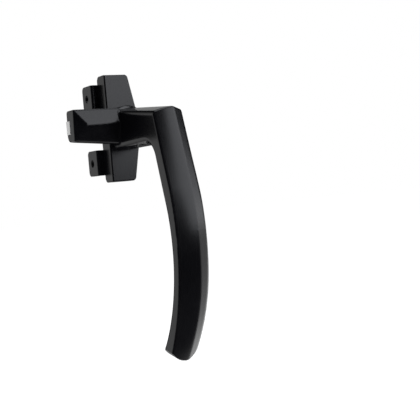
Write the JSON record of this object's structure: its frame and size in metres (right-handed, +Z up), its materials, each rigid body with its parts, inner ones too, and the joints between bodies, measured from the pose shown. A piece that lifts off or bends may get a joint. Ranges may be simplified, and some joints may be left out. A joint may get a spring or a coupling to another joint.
{
  "type": "seven-shaped casement window handle",
  "caption": "Black cranked window handle: side-fixing base with two ears, lever with a bowed grip hanging down and a sideways locking nose with a white nylon pad.",
  "frame": {"origin": "on the lever's turning axis, on the back plane of the bracket that rests on the sash", "axes": "+Y into the sash (the handle stands out to -Y), +Z up along the base, the locking nose points to -X"},
  "size_m": [0.0447, 0.0873, 0.1482],
  "materials": {
    "powder_black": "semi-gloss black powder coat with a very fine texture",
    "white_nylon": "matt moulded white nylon",
    "natural_nylon": "matt moulded natural nylon",
    "zinc_steel": "bright zinc plate, lightly brushed",
    "spring_steel": "phosphated spring steel",
    "ball_steel": "ground and polished bearing steel",
    "black_oxide_steel": "black oxide"
  },
  "bodies": {
    "base_assembly": {"base_body": "powder_black", "mounting_bracket": "powder_black", "bracket_screw_upper": "zinc_steel", "bracket_screw_lower": "zinc_steel", "pivot_bush": "natural_nylon", "thrust_washer": "natural_nylon", "stop_pin": "zinc_steel", "detent_spring_left": "spring_steel", "detent_spring_right": "spring_steel"},
    "lever_assembly": {"lever": "powder_black", "nose_pad": "white_nylon", "nose_pad_pin": "spring_steel", "lever_grub_screw": "black_oxide_steel", "pivot_shaft": "zinc_steel", "detent_plate": "zinc_steel", "disc_spring": "spring_steel", "flat_washer": "zinc_steel", "retaining_clip": "spring_steel"},
    "ball_left": {"detent_ball_left": "ball_steel"},
    "ball_right": {"detent_ball_right": "ball_steel"}
  },
  "joints": [
    {"name": "lever_turn", "type": "hinge", "parent": "base_assembly", "child": "lever_assembly", "pos_m": [0, 0, 0], "axis": [0, -1, 0], "range_deg": [0, 90]},
    {"name": "detent_left_travel", "type": "slide", "parent": "base_assembly", "child": "ball_left", "axis": [0, 1, 0], "range_m": [0, 0.0005], "stiffness_N_per_m": 400, "springref_m": 0.0008},
    {"name": "detent_right_travel", "type": "slide", "parent": "base_assembly", "child": "ball_right", "axis": [0, 1, 0], "range_m": [0, 0.0005], "stiffness_N_per_m": 400, "springref_m": 0.0008}
  ]
}
